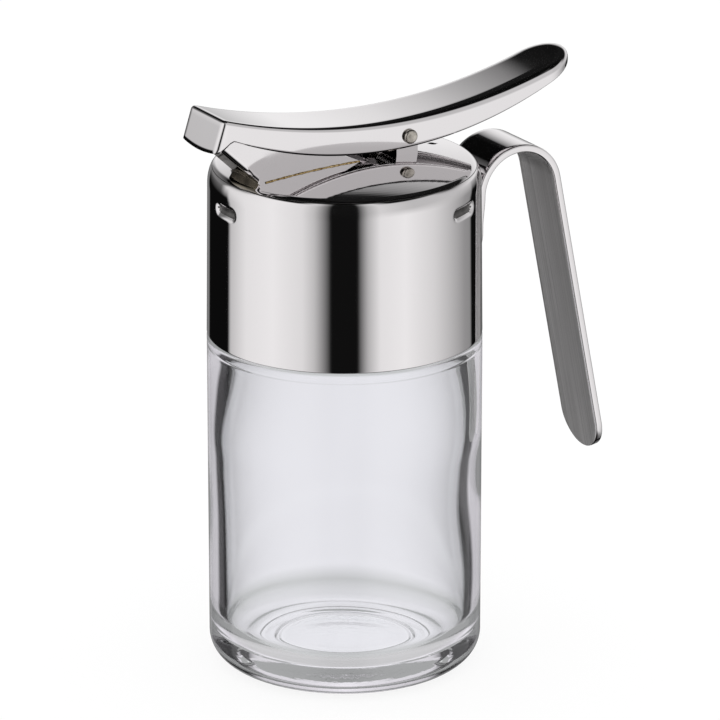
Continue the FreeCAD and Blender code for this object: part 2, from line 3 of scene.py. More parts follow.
import bmesh
import bpy
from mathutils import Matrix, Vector


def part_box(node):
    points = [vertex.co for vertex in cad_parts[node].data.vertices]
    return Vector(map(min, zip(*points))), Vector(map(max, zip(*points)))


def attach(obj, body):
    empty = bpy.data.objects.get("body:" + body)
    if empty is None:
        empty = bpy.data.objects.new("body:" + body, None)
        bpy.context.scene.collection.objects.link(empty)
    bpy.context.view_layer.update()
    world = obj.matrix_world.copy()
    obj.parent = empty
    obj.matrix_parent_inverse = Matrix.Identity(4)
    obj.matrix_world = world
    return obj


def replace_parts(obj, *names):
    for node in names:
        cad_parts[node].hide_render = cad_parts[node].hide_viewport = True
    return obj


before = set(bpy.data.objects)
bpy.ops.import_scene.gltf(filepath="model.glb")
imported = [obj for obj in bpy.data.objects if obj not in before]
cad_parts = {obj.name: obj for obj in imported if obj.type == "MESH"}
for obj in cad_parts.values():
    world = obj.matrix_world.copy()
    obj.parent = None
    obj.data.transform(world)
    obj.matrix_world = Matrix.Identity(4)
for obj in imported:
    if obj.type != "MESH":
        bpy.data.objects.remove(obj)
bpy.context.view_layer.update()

# ---- view ---------------------------------------------------------------------------------------
# A long lens a little above the jar's shoulder, on the side that shows the chute and the handle.
AZIMUTH = math.radians(-30.3655)
ELEVATION = math.radians(19.128)
DISTANCE = 1.279
SENSOR, LENS = 36, 266.6
ASIDE, HALF_HEIGHT = 0.003692, 0.07494

right = Vector((math.cos(AZIMUTH), math.sin(AZIMUTH), 0))
back = Vector((
    math.sin(AZIMUTH) * math.cos(ELEVATION),
    -math.cos(AZIMUTH) * math.cos(ELEVATION),
    math.sin(ELEVATION),
))
camera_data = bpy.data.cameras.new("camera")
camera_data.sensor_width = SENSOR
camera_data.lens = LENS
camera_data.clip_end = 20
camera = bpy.data.objects.new("camera", camera_data)
bpy.context.collection.objects.link(camera)
camera.location = right * ASIDE + Vector((0, 0, HALF_HEIGHT)) + back * DISTANCE
camera.rotation_euler = back.to_track_quat("Z", "Y").to_euler()
bpy.context.scene.camera = camera
bpy.context.scene.view_settings.view_transform = "Standard"

# ---- studio -------------------------------------------------------------------------------------
# A white sweep behind, tall soft panels left and right of the lens, dark above, and low black flags
# at both sides. It all lights the object white: the steel mirrors the pattern, and the glass bends it.


def linear(code):
    """An sRGB hex colour as linear values with full alpha."""
    parts = [int(code[i:i + 2], 16) / 255 for i in (0, 2, 4)]
    return (*[p / 12.92 if p <= 0.04045 else ((p + 0.055) / 1.055) ** 2.4 for p in parts], 1.0)


def feed(tree, node, inputs):
    """Gives a node its inputs, by place or name: a node (its first output), an output or a value."""
    for key, source in inputs.items():
        if isinstance(source, bpy.types.Node):
            source = source.outputs[0]
        if isinstance(source, bpy.types.NodeSocket):
            tree.links.new(source, node.inputs[key])
        else:
            node.inputs[key].default_value = source


def add(tree, kind, inputs=None, stops=(), **settings):
    """A new shader node with its settings, a colour ramp's stops and its inputs."""
    node = tree.nodes.new("ShaderNode" + kind)
    for key, value in settings.items():
        setattr(node, key, value)
    for index, (position, colour) in enumerate(stops):
        elements = node.color_ramp.elements
        if index == 0:
            elements.remove(elements[1])
        element = elements[0] if index == 0 else elements.new(position)
        element.position = position
        element.color = colour
    feed(tree, node, inputs or {})
    return node


def over_turn(*stops):
    """Colour stops from pairs of an angle in degrees, -180 to 180, and a grey."""
    return [((angle + 180) / 360, (grey, grey, grey, 1)) for angle, grey in stops]


world = bpy.data.worlds.new("studio")
bpy.context.scene.world = world
world.use_nodes = True
sky = world.node_tree
sky.nodes.clear()

# Angles as shares of a turn: round from the lens's side, and up from level.
generated = add(sky, "TexCoord").outputs["Generated"]
turned = add(sky, "VectorRotate", {"Vector": generated, "Angle": -AZIMUTH}, rotation_type="Z_AXIS")
aside, away, up = add(sky, "SeparateXYZ", {0: turned}).outputs
toward = add(sky, "Math", {0: away, 1: -1.0}, operation="MULTIPLY")
around = add(sky, "Math", {0: aside, 1: toward}, operation="ARCTAN2")
around = add(sky, "Math", {0: around, 1: 2 * math.pi}, operation="DIVIDE")
around = add(sky, "Math", {0: around, 1: 0.5}, operation="ADD")
height = add(sky, "Math", {0: up}, operation="ARCSINE")
height = add(sky, "Math", {0: height, 1: 2 * math.pi}, operation="DIVIDE")
height = add(sky, "Math", {0: height, 1: 0.5}, operation="ADD")

# What the steel mirrors: panels and flags below and above level, cut off overhead and straight down.
low_ring = add(sky, "ValToRGB", {0: around}, over_turn(
    (-180, 0.12), (-158, 0.24), (-154, 0.004), (-114, 0.004), (-110, 0.62), (-90, 0.92), (-62, 1.0),
    (-35, 0.86), (-25, 0.62), (-11, 0.006), (11, 0.006), (20, 0.55), (30, 0.92), (52, 1.0),
    (80, 0.80), (120, 0.34), (130, 0.30), (133, 0.004), (147, 0.004), (151, 0.14), (180, 0.12),
))
high_ring = add(sky, "ValToRGB", {0: around}, over_turn(
    (-180, 1.0), (-168, 1.0), (-160, 0.26), (-124, 0.22), (-117, 0.85), (-62, 1.0), (-35, 0.86),
    (-25, 0.62), (-11, 0.006), (11, 0.006), (20, 0.5), (30, 0.78), (46, 0.68), (60, 0.6),
    (110, 0.62), (140, 0.9), (180, 1.0),
))
above = add(sky, "ValToRGB", {0: height}, over_turn((-10, 0.0), (6, 1.0)))
ring = add(sky, "MixRGB", {0: above, 1: low_ring, 2: high_ring})
behind = add(sky, "ValToRGB", {0: around}, over_turn((-115, 1.0), (-90, 0.0), (90, 0.0), (115, 1.0)))
beside = add(sky, "ValToRGB", {0: around}, over_turn((-48, 1.0), (-30, 0.0), (30, 0.0), (48, 1.0)))
top_behind = add(sky, "ValToRGB", {0: height}, over_turn(
    (2, 1.0), (10, 0.95), (17, 0.85), (22, 0.69), (26, 0.47), (28, 0.35), (30.2, 0.2), (30.9, 0.01),
))
top_front = add(sky, "ValToRGB", {0: height}, over_turn((54, 1.0), (62, 0.006)))
top_side = add(sky, "ValToRGB", {0: height}, over_turn((38, 1.0), (46, 0.006)))
top = add(sky, "MixRGB", {0: beside, 1: top_front, 2: top_side})
top = add(sky, "MixRGB", {0: behind, 1: top, 2: top_behind})
beneath = add(sky, "ValToRGB", {0: height}, over_turn((-60, 0.02), (-44, 1.0)))
mirrored = add(sky, "MixRGB", {0: 1.0, 1: ring, 2: top}, blend_type="MULTIPLY")
mirrored = add(sky, "MixRGB", {0: 1.0, 1: mirrored, 2: beneath}, blend_type="MULTIPLY")

# What the glass bends into view: white behind, dark at both sides, soft grey towards the lens.
through_ring = add(sky, "ValToRGB", {0: around}, over_turn(
    (-180, 0.98), (-172, 0.86), (-165, 0.78), (-151, 0.72), (-145, 0.03), (-112, 0.02), (-100, 0.30),
    (-60, 0.50), (-20, 0.34), (20, 0.34), (60, 0.50), (100, 0.30), (112, 0.02), (145, 0.03),
    (151, 0.72), (165, 0.78), (172, 0.86), (180, 0.98),
))
through_top = add(sky, "ValToRGB", {0: height}, over_turn(
    (-90, 0.75), (-50, 0.75), (-40, 1.0), (40, 1.0), (50, 0.2),
))
through = add(sky, "MixRGB", {0: 1.0, 1: through_ring, 2: linear("fcf6fe")}, blend_type="MULTIPLY")
through = add(sky, "MixRGB", {0: 1.0, 1: through, 2: through_top}, blend_type="MULTIPLY")
steep = add(sky, "ValToRGB", {0: height}, over_turn((-42, 1.0), (-26, 0.0)))
through = add(sky, "MixRGB", {0: steep, 1: through, 2: (0.62, 0.60, 0.62, 1)})

path = add(sky, "LightPath").outputs
shown = add(sky, "MixRGB", {0: path["Is Glossy Ray"], 1: (1, 1, 1, 1), 2: mirrored})
shown = add(sky, "MixRGB", {0: path["Is Transmission Ray"], 1: shown, 2: through})
backdrop = add(sky, "Background", {"Color": shown, "Strength": 1.0})
add(sky, "OutputWorld", {"Surface": backdrop})

# The floor is matt white paper that mostly lights itself, so that only a faint shadow falls on it.
bpy.ops.mesh.primitive_plane_add(size=6, location=(0, 0, -0.0002))
floor = bpy.context.object
floor.name = "floor"
paper = bpy.data.materials.new("white_paper")
paper.use_nodes = True
tree = paper.node_tree
tree.nodes.clear()
matt = add(tree, "BsdfDiffuse", {"Color": (0.14, 0.14, 0.14, 1)})
glow = add(tree, "Emission", {"Color": (1, 1, 1, 1), "Strength": 0.88})
both = add(tree, "AddShader", {0: matt, 1: glow})
add(tree, "OutputMaterial", {"Surface": both})
floor.data.materials.append(paper)
floor.visible_glossy = False
floor.visible_transmission = False

# ---- jar ----------------------------------------------------------------------------------------
# A pressed soda-glass jar. Its outside is true, with a rounded heel, a fine groove under the cap and
# a ringed hollow below. Its inside is uneven and leans to one side, as it comes from the plunger.
MM = 0.001
HEEL, INNER_HEEL = 6.4, 8.0
FLOOR, FLOOR_RISE = 5.6, 0.35
RING_REACH, HOLLOW = 21.3, 1.0
GROOVE_DROP, GROOVE_DEPTH, GROOVE_HALF = 2.3, 0.14, 0.5
NECK, NECK_OUTSIDE, NECK_LIP = 27.2, 30.4, 0.7
SHOULDER = 78.0
WALL_REACH, WALL_SWELL, WALL_DRAW = 28.75, 0.14, 1.3
LEAN_SIDE = math.radians(149.6)
JAR_SEGMENTS = 256
jar_low, jar_high = [[c / MM for c in corner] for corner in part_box("glass_jar")]
cap_low, cap_high = [[c / MM for c in corner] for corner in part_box("cap_shell")]
JAR_RADIUS, JAR_TOP = jar_high[0], jar_high[2]
CAP_LOW, CAP_TOP = cap_low[2], cap_high[2]


def material(name, inputs):
    """A principled material, its node tree and its shader, with values on the shader's own sockets."""
    made = bpy.data.materials.new(name)
    made.use_nodes = True
    shader = made.node_tree.nodes["Principled BSDF"]
    feed(made.node_tree, shader, inputs)
    return made, made.node_tree, shader


# Clear soda glass, with a painted grey glow switched on below. The plunger leaves slow waves, about
# 14 mm across and 32 mm tall, and the mould's base a stippled disc, its grain of about 1 mm.
glass, tree, shader = material("clear_glass", {
    "Base Color": linear("fafdfc"), "Transmission Weight": 1.0, "Roughness": 0.0, "IOR": 1.5,
    "Emission Color": linear("f2f2f4"),
})
place = add(tree, "TexCoord").outputs["Object"]
x, y, z = add(tree, "SeparateXYZ", {0: place}).outputs
x_square = add(tree, "Math", {0: x, 1: x}, operation="MULTIPLY")
y_square = add(tree, "Math", {0: y, 1: y}, operation="MULTIPLY")
reach = add(tree, "Math", {0: x_square, 1: y_square}, operation="ADD")
reach = add(tree, "Math", {0: reach}, operation="SQRT")
below = add(tree, "Math", {0: z, 1: 3 * MM}, operation="LESS_THAN")
within = add(tree, "Math", {0: reach, 1: 15.5 * MM}, operation="LESS_THAN")
disc = add(tree, "Math", {0: below, 1: within}, operation="MULTIPLY")
grain = add(tree, "TexNoise", {"Vector": place, "Scale": 1 / (1.111 * MM), "Detail": 1.0})
stipple = add(tree, "Math", {0: disc, 1: grain}, operation="MULTIPLY")
stipple = add(tree, "Math", {0: stipple, 1: 0.5}, operation="MULTIPLY")
tall = add(tree, "Mapping", {0: place, "Scale": (1, 1, 0.45)})
waves = add(tree, "TexNoise", {"Vector": tall, "Scale": 1 / (14.286 * MM), "Detail": 2.0})
waves = add(tree, "Math", {0: waves, 1: 0.35}, operation="MULTIPLY")
relief = add(tree, "Math", {0: waves, 1: stipple}, operation="ADD")
# Painted glow: a faint grey emission after three glossy bounces keeps the thick base from going dark.
bounces = add(tree, "LightPath").outputs["Glossy Depth"]
painted_glow = add(tree, "Math", {0: bounces, 1: 3.5}, operation="GREATER_THAN")
feed(tree, shader, {
    "Normal": add(tree, "Bump", {"Height": relief, "Distance": 0.03 * MM}),
    "Emission Strength": add(tree, "Math", {0: painted_glow, 1: 0.2}, operation="MULTIPLY"),
})


def mesh_piece(name, points, faces, finish, body, merge=0.0):
    """A smooth mesh from points in millimetres, its normals outward, that rides on a body."""
    mesh = bpy.data.meshes.new(name)
    mesh.from_pydata([tuple(c * MM for c in point) for point in points], [], faces)
    shape = bmesh.new()
    shape.from_mesh(mesh)
    if merge:
        bmesh.ops.remove_doubles(shape, verts=shape.verts, dist=merge * MM)
    bmesh.ops.recalc_face_normals(shape, faces=shape.faces)
    shape.to_mesh(mesh)
    shape.free()
    mesh.shade_smooth()
    mesh.materials.append(finish)
    piece = bpy.data.objects.new(name, mesh)
    bpy.context.collection.objects.link(piece)
    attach(piece, body)
    return piece


def grid_faces(rows, columns, closed_rows=False, closed_columns=False):
    """Quads over a grid of points stored row by row."""
    faces = []
    for row in range(rows if closed_rows else rows - 1):
        for column in range(columns if closed_columns else columns - 1):
            near, far = row * columns, (row + 1) % rows * columns
            after = (column + 1) % columns
            faces.append((near + column, near + after, far + after, far + column))
    return faces


def arc(centre, radius, start, end, steps):
    """Points along an arc, its angles in degrees."""
    angles = [math.radians(start + (end - start) * i / steps) for i in range(steps + 1)]
    return [(centre[0] + radius * math.cos(a), centre[1] + radius * math.sin(a)) for a in angles]


def ease(value):
    """A smooth step from 0 to 1."""
    value = min(max(value, 0.0), 1.0)
    return value * value * (3 - 2 * value)


def swell(height, middle, half):
    """A smooth rise and fall round a height, from 0 to 1 and back."""
    if abs(height - middle) >= half:
        return 0.0
    return 0.5 + 0.5 * math.cos(math.pi * (height - middle) / half)


def supported(profile):
    """A profile with points close to the ends of its long runs, which keep its corners crisp."""
    line = [profile[0]]
    for before, after in zip(profile, profile[1:]):
        run = math.hypot(after[0] - before[0], after[1] - before[1])
        for share in (0.2 / run, 1 - 0.2 / run) if run > 0.9 else ():
            line.append(tuple(b + (a - b) * share for b, a in zip(before, after)))
        line.append(after)
    return line


def lathe(profile, segments, shaped):
    """Points of a profile of (reach, height) turned about Z, its reach shaped by place."""
    points = []
    for index, (reach, height) in enumerate(profile):
        for angle in [2 * math.pi * step / segments for step in range(segments)]:
            far = shaped(index, reach, height, angle)
            points.append((far * math.cos(angle), far * math.sin(angle), height))
    return points


def inner_wall(height):
    """The inner wall's mean reach and its lean to one side at a height."""
    wave = WALL_SWELL * math.cos(2 * math.pi * (height - 16) / 40)
    mean = WALL_REACH + wave - WALL_DRAW * ease((height - 54) / 24)
    return mean, 0.42 * swell(height, 40, 26) - 0.2 * swell(height, 70, 14)


def underside(reach):
    """The hollow under the base, with its two pressed rings."""
    hollow = max(0.0, HOLLOW - HOLLOW * (reach / RING_REACH) ** 2)
    rings = 0.3 * math.exp(-((reach - 16.2) / 0.45) ** 2) + 0.2 * math.exp(-((reach - 20.6) / 0.35) ** 2)
    return hollow + rings


outside = [(RING_REACH * i / 56, underside(RING_REACH * i / 56)) for i in range(57)]
outside += [(JAR_RADIUS - HEEL, 0.0)] + arc((JAR_RADIUS - HEEL, HEEL), HEEL, -84, 0, 14)
outside += [(JAR_RADIUS, HEEL + (CAP_LOW - 3 - HEEL) * i / 6) for i in range(1, 7)]
groove = CAP_LOW - GROOVE_DROP
for height in [groove + GROOVE_HALF * (i / 5 - 1) for i in range(11)]:
    outside.append((JAR_RADIUS - GROOVE_DEPTH * swell(height, groove, GROOVE_HALF), height))
outside += [(JAR_RADIUS, CAP_LOW - 1.5), (JAR_RADIUS, CAP_LOW - 1)]
outside += arc((JAR_RADIUS - 1, CAP_LOW - 1), 1, 15, 90, 5)
outside += [(NECK_OUTSIDE, CAP_LOW), (NECK_OUTSIDE, JAR_TOP - NECK_LIP)]
outside += arc((NECK_OUTSIDE - NECK_LIP, JAR_TOP - NECK_LIP), NECK_LIP, 20, 90, 4)
outside = supported(outside)

heel_reach = inner_wall(FLOOR + INNER_HEEL)[0] - INNER_HEEL
inside = arc((NECK + NECK_LIP, JAR_TOP - NECK_LIP), NECK_LIP, 90, 180, 5)
inside += [(NECK, height) for height in range(96, 77, -3)]
inside += [(NECK, half / 2) for half in range(155, 27, -2)]
inside += arc((heel_reach, FLOOR + INNER_HEEL), INNER_HEEL, 0, -90, 20)
inside += [(heel_reach * (1 - i / 20), FLOOR + FLOOR_RISE * ease(i / 6)) for i in range(1, 21)]


def uneven(index, reach, height, angle):
    """The inner wall's own reach between its heel and the shoulder, and the outline elsewhere."""
    wall_start = FLOOR + INNER_HEEL
    if index < len(outside) or not wall_start <= height <= SHOULDER:
        return reach
    mean, lean = inner_wall(height)
    ripple = 0.02 * math.sin(3 * angle + height / 8.0)
    fade = ease((height - wall_start) / 4) * ease((SHOULDER - height) / 3)
    return mean + lean * math.cos(angle - LEAN_SIDE) + ripple * fade


profile = outside + inside
jar = mesh_piece(
    "jar_glass", lathe(profile, JAR_SEGMENTS, uneven),
    grid_faces(len(profile), JAR_SEGMENTS, closed_columns=True), glass, "jar", 0.004,
)
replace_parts(jar, "glass_jar")

# ---- cap ----------------------------------------------------------------------------------------
# The cap is drawn from stainless sheet and screwed on: a skirt with a slight draft, three stamped
# dents, a small shoulder and a low dome. The mouth is cut under the chute, the vent behind the hinge.
CAP_WALL, CAP_DRAFT, RIM = 1.2, 0.45, 0.4
LEAN_START, LEAN_RADIUS, LEAN_ANGLE = 119.9, 9.5, 20.5
BROW_RADIUS, DOME_SLOPE = 2.43, 7.3
DENT_HEIGHT, DENT_DEPTH, DENT_SOFT = LEAN_START - 2.6, 0.95, 1.9
DENT_HALF_LENGTH, DENT_END = 3.1, 1.75
DENT_ANGLES = [math.radians(angle) for angle in (180, 60, -60)]
VENT_SETBACK, VENT_RADIUS = 5.7, 0.95
MOUTH_FRONT, MOUTH_BACK, MOUTH_HALF = -23.7, -8.2, 4.3
CAP_SEGMENTS = 480
lean_centre = (JAR_RADIUS - CAP_DRAFT - LEAN_RADIUS, LEAN_START)
brow_centre = tuple(
    c + (LEAN_RADIUS - BROW_RADIUS) * turn(math.radians(LEAN_ANGLE))
    for c, turn in zip(lean_centre, (math.cos, math.sin))
)
brow_end = arc(brow_centre, BROW_RADIUS, 90 - DOME_SLOPE, 90 - DOME_SLOPE, 1)[0]
DOME_RADIUS = brow_end[0] / math.sin(math.radians(DOME_SLOPE))

# Mirror-polished stainless steel. The buffing wheel leaves a breath of haze in patches of about
# 11 mm, and waves of about 22 mm that bend its reflections slightly.
polished, tree, shader = material("polished_steel", {"Base Color": linear("e9e6e7"), "Metallic": 1.0})
place = add(tree, "TexCoord").outputs["Object"]
haze = add(tree, "TexNoise", {"Vector": place, "Scale": 1 / (11.111 * MM), "Detail": 4.0})
waves = add(tree, "TexNoise", {"Vector": place, "Scale": 1 / (22.222 * MM), "Detail": 1.0})
feed(tree, shader, {
    "Roughness": add(tree, "MapRange", {0: haze, 1: 0.3, 2: 0.7, 3: 0.025, 4: 0.06}),
    "Normal": add(tree, "Bump", {"Height": waves, "Distance": 0.012 * MM}),
})

# The same steel as the press leaves it, inside the cap: dull and grey, with streaks of about 3 mm
# drawn out tenfold up the wall.
drawn, tree, shader = material("drawn_steel_inside", {"Metallic": 1.0})
place = add(tree, "TexCoord").outputs["Object"]
long = add(tree, "Mapping", {0: place, "Scale": (1, 1, 0.1)})
streaks = add(tree, "TexNoise", {"Vector": long, "Scale": 1 / (3.333 * MM), "Detail": 4.0})
feed(tree, shader, {
    "Base Color": add(tree, "ValToRGB", {0: streaks}, [(0.35, linear("5b5958")), (0.65, linear("7d7b7a"))]),
    "Roughness": add(tree, "MapRange", {0: streaks, 1: 0.3, 2: 0.7, 3: 0.3, 4: 0.5}),
})


def dome(reach):
    """The dome's height over a reach from the axis."""
    return CAP_TOP - DOME_RADIUS + math.sqrt(DOME_RADIUS ** 2 - reach ** 2)


def cap_profile(inset):
    """The cap's outline from its lower edge to the middle of its dome, set in by a wall."""
    plain, fine = 31.5, 22
    heights = [CAP_LOW + plain * i / 6 for i in range(7)]
    heights += [CAP_LOW + plain + (LEAN_START - CAP_LOW - plain) * i / fine for i in range(1, fine)]
    tall = LEAN_START - CAP_LOW
    line = [(JAR_RADIUS - inset - CAP_DRAFT * (height - CAP_LOW) / tall, height) for height in heights]
    line += arc(lean_centre, LEAN_RADIUS - inset, 0, LEAN_ANGLE, 10)
    line += arc(brow_centre, BROW_RADIUS - inset, LEAN_ANGLE, 90 - DOME_SLOPE, 14)[1:]
    reaches = [brow_end[0] * (1 - i / 24) for i in range(1, 25)]
    return line + [(reach, dome(reach) - inset) for reach in reaches]


def dented(index, reach, height, angle):
    """The reach where a dent is pressed in: a slot with round ends and soft sides."""
    if abs(height - DENT_HEIGHT) > 3.5:
        return reach
    for middle in DENT_ANGLES:
        across = JAR_RADIUS * math.remainder(angle - middle, 2 * math.pi)
        beyond = max(abs(across) - DENT_HALF_LENGTH, 0.0)
        outside_slot = math.hypot(beyond, height - DENT_HEIGHT) - DENT_END
        reach -= DENT_DEPTH * ease((0.25 - outside_slot) / DENT_SOFT)
    return reach


def apply_modifiers(piece):
    """Leaves a piece with the mesh that its modifiers make."""
    made = bpy.data.meshes.new_from_object(piece.evaluated_get(bpy.context.evaluated_depsgraph_get()))
    piece.modifiers.clear()
    piece.data = made


def punch(piece, outline):
    """Cuts an upright hole through the dome."""
    count = len(outline)
    points = [(x * MM, y * MM, z * MM) for z in (CAP_TOP - 4, CAP_TOP + 2) for x, y in outline]
    faces = [tuple(range(count - 1, -1, -1)), tuple(range(count, 2 * count))]
    faces += [(i, (i + 1) % count, count + (i + 1) % count, count + i) for i in range(count)]
    mesh = bpy.data.meshes.new("punch")
    mesh.from_pydata(points, [], faces)
    tool = bpy.data.objects.new("punch", mesh)
    bpy.context.collection.objects.link(tool)
    cut = piece.modifiers.new("punch", "BOOLEAN")
    cut.object = tool
    cut.solver = "EXACT"
    apply_modifiers(piece)
    bpy.data.objects.remove(tool)


rim = arc((JAR_RADIUS - RIM, CAP_LOW + RIM), RIM, -90, -12, 6)
skin = cap_profile(0.0)
skin[0] = (skin[0][0], CAP_LOW + RIM)
profile = supported(rim + skin) + supported(cap_profile(CAP_WALL))[::-1]
cap = mesh_piece(
    "cap_steel", lathe(profile, CAP_SEGMENTS, dented), grid_faces(len(profile), CAP_SEGMENTS, True, True),
    polished, "jar", 0.004,
)
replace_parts(cap, "cap_shell")
punch(cap, arc((brow_end[0] - VENT_SETBACK, 0), VENT_RADIUS, 0, 337.5, 15))
punch(cap, [
    (MOUTH_FRONT, -MOUTH_HALF), (MOUTH_BACK, -MOUTH_HALF),
    (MOUTH_BACK, MOUTH_HALF), (MOUTH_FRONT, MOUTH_HALF),
])

cap.data.materials.append(drawn)
for face in cap.data.polygons:
    x, y, z = [c / MM for c in face.center]
    reach = math.hypot(x, y)
    if reach < (32.1 if z < LEAN_START else 31.5) and z < dome(reach) - 0.5:
        face.material_index = 1

# ---- lever --------------------------------------------------------------------------------------
# The lever is one polished steel pressing, a channel whose top is a long arc. A leaning front wall
# with a curved lower edge and a rounded tail close it, and its upper edge rolls softer to the tail.
pin_low, pin_high = [[c / MM for c in corner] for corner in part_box("hinge_pin")]
HINGE = ((pin_low[0] + pin_high[0]) / 2, (pin_low[2] + pin_high[2]) / 2)
LEVER_LOW, LOW_PLACE = HINGE[1] + 4.3, 7.3
TOP_ARC = 143.5
BELLY_ARC, BELLY_DEPTH = 105.0, 7.1
HALF_WIDTH = 8.2
FRONT, TAIL = -(JAR_RADIUS + 3.8), JAR_RADIUS + 27.9
FRONT_WALL, LIP_SAG, LIP_DEPTH = 8.9, 0.8, 1.9
LIP_END = FRONT + 2.2
SHEET = 0.8
CORNER, ROLL_GAIN = 0.95, 1.5
WALL_ROWS, ROLL_ROWS, TOP_ROWS = 8, 10, 9
LEAN = math.asin((LOW_PLACE - FRONT) / TOP_ARC)
TAIL_START = TAIL - HALF_WIDTH
FRONT_START = FRONT + HALF_WIDTH


def lever_top(x):
    """The height of the top's arc."""
    return LEVER_LOW + TOP_ARC - math.sqrt(TOP_ARC ** 2 - (x - LOW_PLACE) ** 2)


def lever_belly(x):
    """The height of the side walls' lower edge."""
    return LEVER_LOW - BELLY_DEPTH + BELLY_ARC - math.sqrt(BELLY_ARC ** 2 - (x - LOW_PLACE) ** 2)


def lever_bottom(x, y):
    """The lower edge all round: the front wall's sagging lip, a short slope, then the belly's arc."""
    lip = lever_top(FRONT) - FRONT_WALL * math.cos(LEAN) + LIP_SAG * (y / HALF_WIDTH) ** 2
    lip_back = FRONT - FRONT_WALL * math.sin(LEAN) + LIP_DEPTH
    if x >= LIP_END:
        return lever_belly(x)
    if x <= lip_back:
        return lip
    return lip + (lever_belly(LIP_END) - lip) * (x - lip_back) / (LIP_END - lip_back)


def lean_by(x):
    """How far a wall comes forward for each millimetre down: the front wall leans, the sides don't."""
    return max(0.0, 1 - (x - FRONT) / 8) * math.tan(LEAN)


def roll_at(x):
    """How wide the upper edge's rounding is."""
    return CORNER + ROLL_GAIN * ease((x + 25) / 75)


corner_centre = (FRONT + CORNER, CORNER - HALF_WIDTH)
side_run = TAIL_START - corner_centre[0]
near_side = [(x, y, "corner") for x, y in arc(corner_centre, CORNER, 180, 270, 6)[1:]]
near_side += [(corner_centre[0] + side_run * i / 110, -HALF_WIDTH, "side") for i in range(1, 110)]
outline = [(FRONT, y * (HALF_WIDTH - CORNER) / 10, "front") for y in range(10, -11, -1)] + near_side
outline += [(x, y, "side") for x, y in arc((TAIL_START, 0), HALF_WIDTH, -90, 90, 48)]
outline += [(x, -y, part) for x, y, part in reversed(near_side)]


def inward_from(x, y, part, spine):
    """The level direction from the outline into the channel."""
    if corner_centre[0] < x < TAIL_START:
        return Vector((0, -y)).normalized()
    if part == "front":
        return Vector((1, 0))
    if part == "corner":
        centre = (corner_centre[0], math.copysign(corner_centre[1], y))
        return Vector((centre[0] - x, centre[1] - y)).normalized()
    return Vector((spine - x, -y)).normalized()


points = []
for row in range(WALL_ROWS + ROLL_ROWS + TOP_ROWS + 1):
    for x, y, part in outline:
        spine = min(max(x, FRONT_START), TAIL_START)
        inward = inward_from(x, y, part, spine)
        roll = roll_at(x)
        if row <= WALL_ROWS:
            top = lever_top(x) - roll
            low_x = x
            for _ in range(4):
                bottom = lever_bottom(low_x, y)
                low_x = x - (lever_top(x) - bottom) * lean_by(x)
            z = bottom + (top - bottom) * row / WALL_ROWS
            points.append((x - (lever_top(x) - z) * lean_by(x), y, z))
        elif row <= WALL_ROWS + ROLL_ROWS:
            angle = math.pi / 2 * (row - WALL_ROWS) / ROLL_ROWS
            gone, drop = roll * (1 - math.cos(angle)), roll * (1 - math.sin(angle))
            at = (x + inward.x * gone, y + inward.y * gone)
            points.append((at[0] - drop * lean_by(x), at[1], lever_top(at[0]) - drop))
        else:
            start = (x + inward.x * roll, y + inward.y * roll)
            share = (row - WALL_ROWS - ROLL_ROWS) / TOP_ROWS
            at = start[0] + (spine - start[0]) * share
            points.append((at, start[1] * (1 - share), lever_top(at)))
faces = grid_faces(WALL_ROWS + ROLL_ROWS + TOP_ROWS + 1, len(outline), closed_columns=True)
lever = mesh_piece(
    "lever_steel", points, faces, polished, "lever_arm", 0.004,
)
thick = lever.modifiers.new("sheet", "SOLIDIFY")
thick.thickness = SHEET * MM
thick.offset = -1
thick.use_even_offset = False
thick.use_quality_normals = True
apply_modifiers(lever)
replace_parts(lever, "lever")

# ---- handle -------------------------------------------------------------------------------------
# One bent strip of stainless steel, polished outside and on its edges and left brushed inside. Its
# root is dished to the cap and welded there, and its grip runs down and outward to a round end.
STRIP, THICK, STRIP_EDGE = 16.2, 1.9, 0.45
ROOT_LOW = LEAN_START - 14.9 - 9.0
BEND_START, BEND_RADIUS = LEAN_START - 7.5, 11.65
GRIP_TILT, GRIP_LENGTH = math.radians(11.2), 71.4
ROOT_HUG, ROOT_CROWN, ROOT_FADE = 32.6, 55, 7.4
skirt_reach = JAR_RADIUS - CAP_DRAFT * (BEND_START - CAP_LOW) / (LEAN_START - CAP_LOW)
bend_centre = (skirt_reach + BEND_RADIUS, BEND_START)
middle = BEND_RADIUS - THICK / 2
half, depth, edge = STRIP / 2, THICK / 2, STRIP_EDGE

# Brushed stainless steel. Its grain runs along the strip: lines a sixth of a millimetre apart, the
# finest that show, each some 50 mm long. The scratches scatter light, so it looks grey from all sides.
satin, tree, shader = material("satin_steel", {"Metallic": 0.92})
place = add(tree, "TexCoord").outputs["Object"]
along = add(tree, "Mapping", {0: place, "Scale": (0.02, 14.0, 0.05)})
grain = add(tree, "TexNoise", {"Vector": along, "Scale": 1 / (2.381 * MM), "Detail": 6.0})
feed(tree, shader, {
    "Base Color": add(tree, "ValToRGB", {0: grain}, [(0.3, linear("cccaca")), (0.7, linear("eeecec"))]),
    "Roughness": add(tree, "MapRange", {0: grain, 1: 0.3, 2: 0.7, 3: 0.34, 4: 0.5}),
    "Normal": add(tree, "Bump", {"Height": grain, "Distance": 0.01 * MM, "Strength": 0.5}),
})

